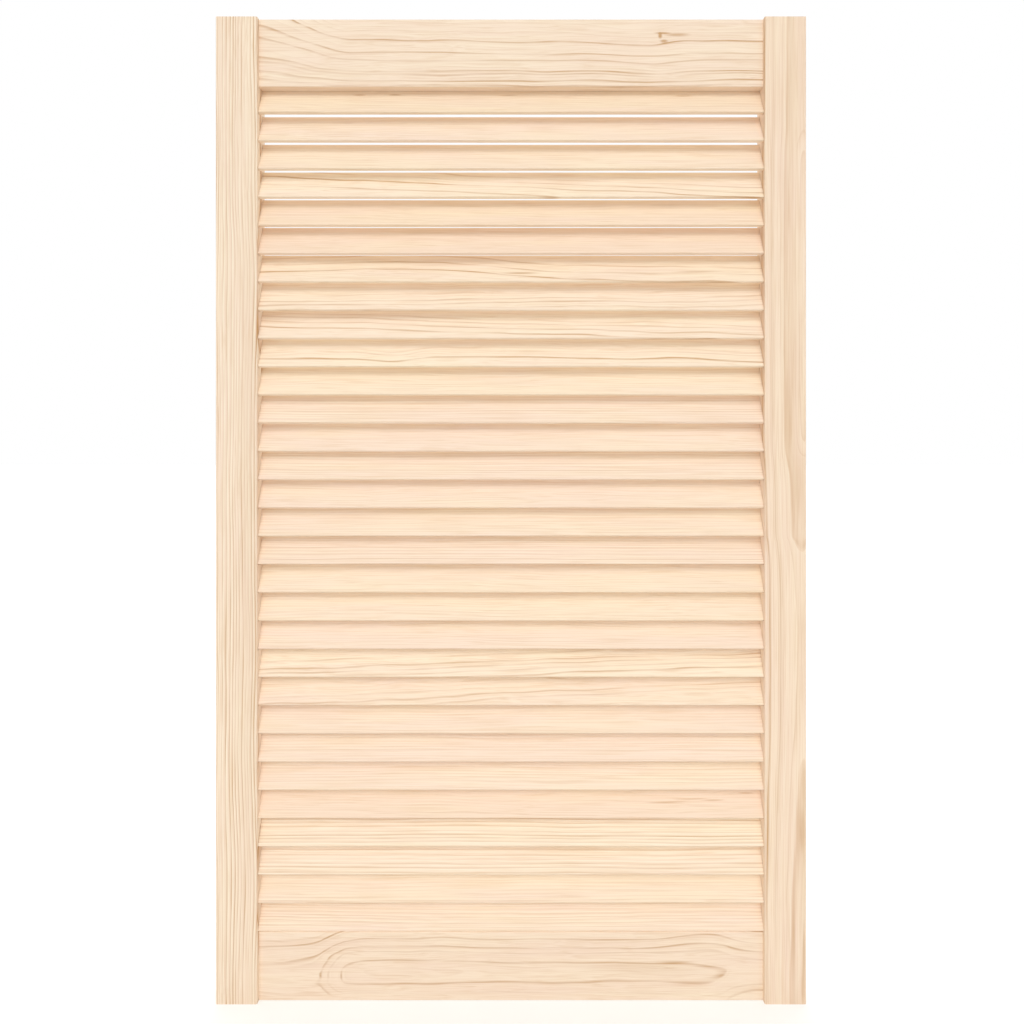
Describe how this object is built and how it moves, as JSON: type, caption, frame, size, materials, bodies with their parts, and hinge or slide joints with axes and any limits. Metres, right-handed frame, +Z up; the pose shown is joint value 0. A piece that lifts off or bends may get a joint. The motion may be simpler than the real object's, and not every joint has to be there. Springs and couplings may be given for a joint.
{
  "type": "louvred door",
  "caption": "Flat louvred cabinet door in bare pine: two stiles and two rails around a field of fixed slats tilted down to the front, set in slanted mortises.",
  "frame": {"origin": "centre of the left stile's outer edge, the face that takes the hinges", "axes": "+X across the leaf from the hinge edge, +Y from the front to the back, +Z up"},
  "size_m": [0.594, 0.021, 0.993],
  "materials": {
    "pine": "planed and sanded, bare, with fine grain"
  },
  "bodies": {
    "root": {"left_stile": "pine", "right_stile": "pine", "top_rail": "pine", "bottom_rail": "pine", "slat_01": "pine", "slat_02": "pine", "slat_03": "pine", "slat_04": "pine", "slat_05": "pine", "slat_06": "pine", "slat_07": "pine", "slat_08": "pine", "slat_09": "pine", "slat_10": "pine", "slat_11": "pine", "slat_12": "pine", "slat_13": "pine", "slat_14": "pine", "slat_15": "pine", "slat_16": "pine", "slat_17": "pine", "slat_18": "pine", "slat_19": "pine", "slat_20": "pine", "slat_21": "pine", "slat_22": "pine", "slat_23": "pine", "slat_24": "pine", "slat_25": "pine", "slat_26": "pine", "slat_27": "pine", "slat_28": "pine", "slat_29": "pine", "slat_30": "pine"}
  },
  "joints": []
}
